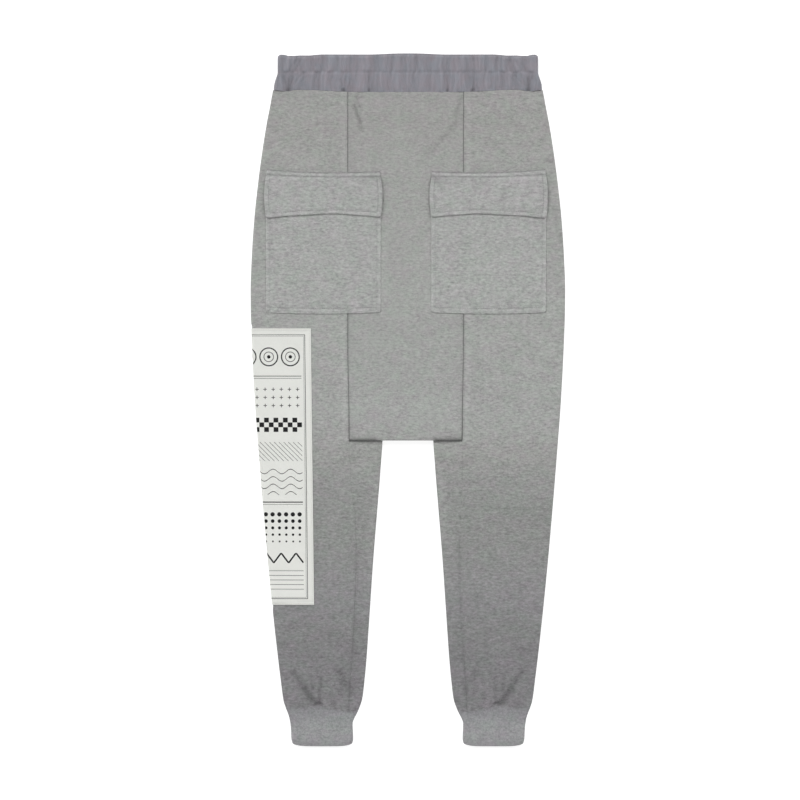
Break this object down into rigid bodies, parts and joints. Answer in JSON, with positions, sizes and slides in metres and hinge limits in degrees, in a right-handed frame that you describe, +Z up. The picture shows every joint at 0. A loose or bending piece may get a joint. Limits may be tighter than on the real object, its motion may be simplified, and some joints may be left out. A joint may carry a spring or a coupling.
{
  "type": "harem pants laid flat",
  "caption": "Drop-crotch fleece trousers laid flat, back side up, with a box crotch panel, flap pockets, an elastic waistband, ribbed cuffs and a patch round a leg.",
  "frame": {"origin": "on the surface that the garment lies on, under the middle of its outline", "axes": "+Z up from the surface, +Y along the garment from the hems to the waist, +X across it to the wearer's right"},
  "size_m": [0.4678, 1.026, 0.0122],
  "materials": {
    "fleece": "grey heather loop-back fleece, matt with a soft nap",
    "pocket_fleece": "grey heather fleece, brushed, a shade lighter",
    "waistband_cloth": "smooth woven cloth with a low sheen, gathered on elastic",
    "cuff_fleece": "grey heather rib, matt",
    "patch_cloth": "off-white printed cotton, matt"
  },
  "bodies": {
    "root": {"waistband": "waistband_cloth", "centre_panel": "fleece", "back_leg_left": "fleece", "front_leg_left": "fleece", "pocket_left": "pocket_fleece", "flap_left": "pocket_fleece", "cuff_left": "cuff_fleece", "back_leg_right": "fleece", "front_leg_right": "fleece", "pocket_right": "pocket_fleece", "flap_right": "pocket_fleece", "cuff_right": "cuff_fleece", "patch": "patch_cloth"}
  },
  "joints": []
}
